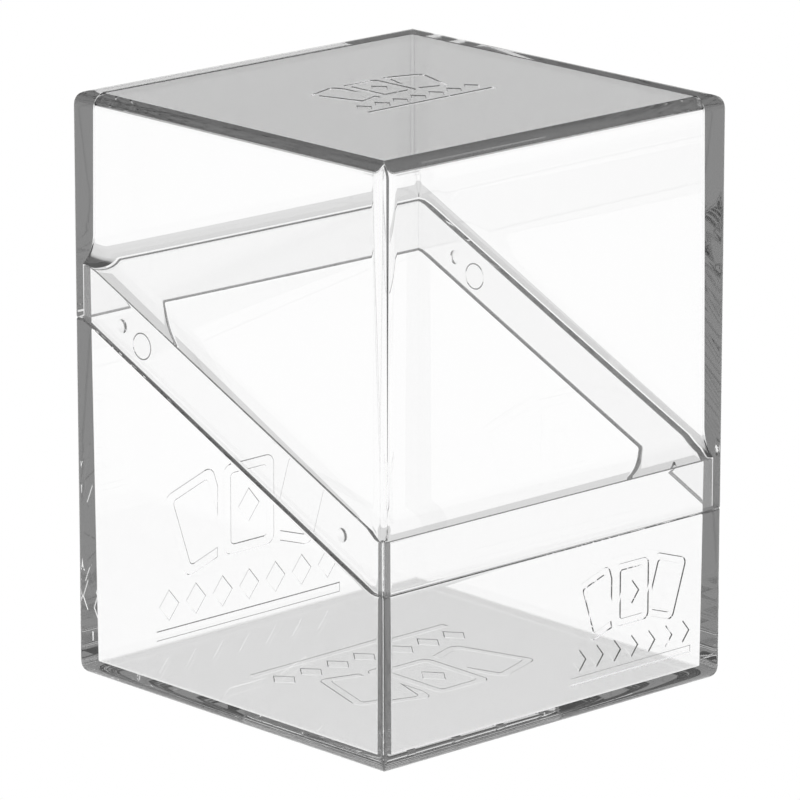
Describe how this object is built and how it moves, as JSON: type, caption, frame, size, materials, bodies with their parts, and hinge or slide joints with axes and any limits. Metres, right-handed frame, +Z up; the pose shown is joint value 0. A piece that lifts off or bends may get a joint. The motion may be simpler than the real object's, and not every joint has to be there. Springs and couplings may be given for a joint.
{
  "type": "card deck box",
  "caption": "Clear plastic deck case: an open base with a low front and high back, and a deep lid that lifts straight off along a parting line sloping down both sides.",
  "frame": {"origin": "middle of the flat underside, on the surface the case stands on", "axes": "+Z up towards the lid's top, -Y towards the low front of the base, +X to the right seen from the front"},
  "size_m": [0.075, 0.0738, 0.098],
  "materials": {
    "clear_base": "clear polished injection-moulded plastic, water white, engraved emblems with bevelled edges",
    "clear_lid": "clear polished injection-moulded plastic, water white, engraved emblem on the top"
  },
  "bodies": {
    "base": {"base": "clear_base"},
    "lid": {"lid": "clear_lid"}
  },
  "joints": [
    {"name": "lid_lift", "type": "slide", "parent": "base", "child": "lid", "axis": [0, 0, 1], "range_m": [0, 0.045]}
  ]
}
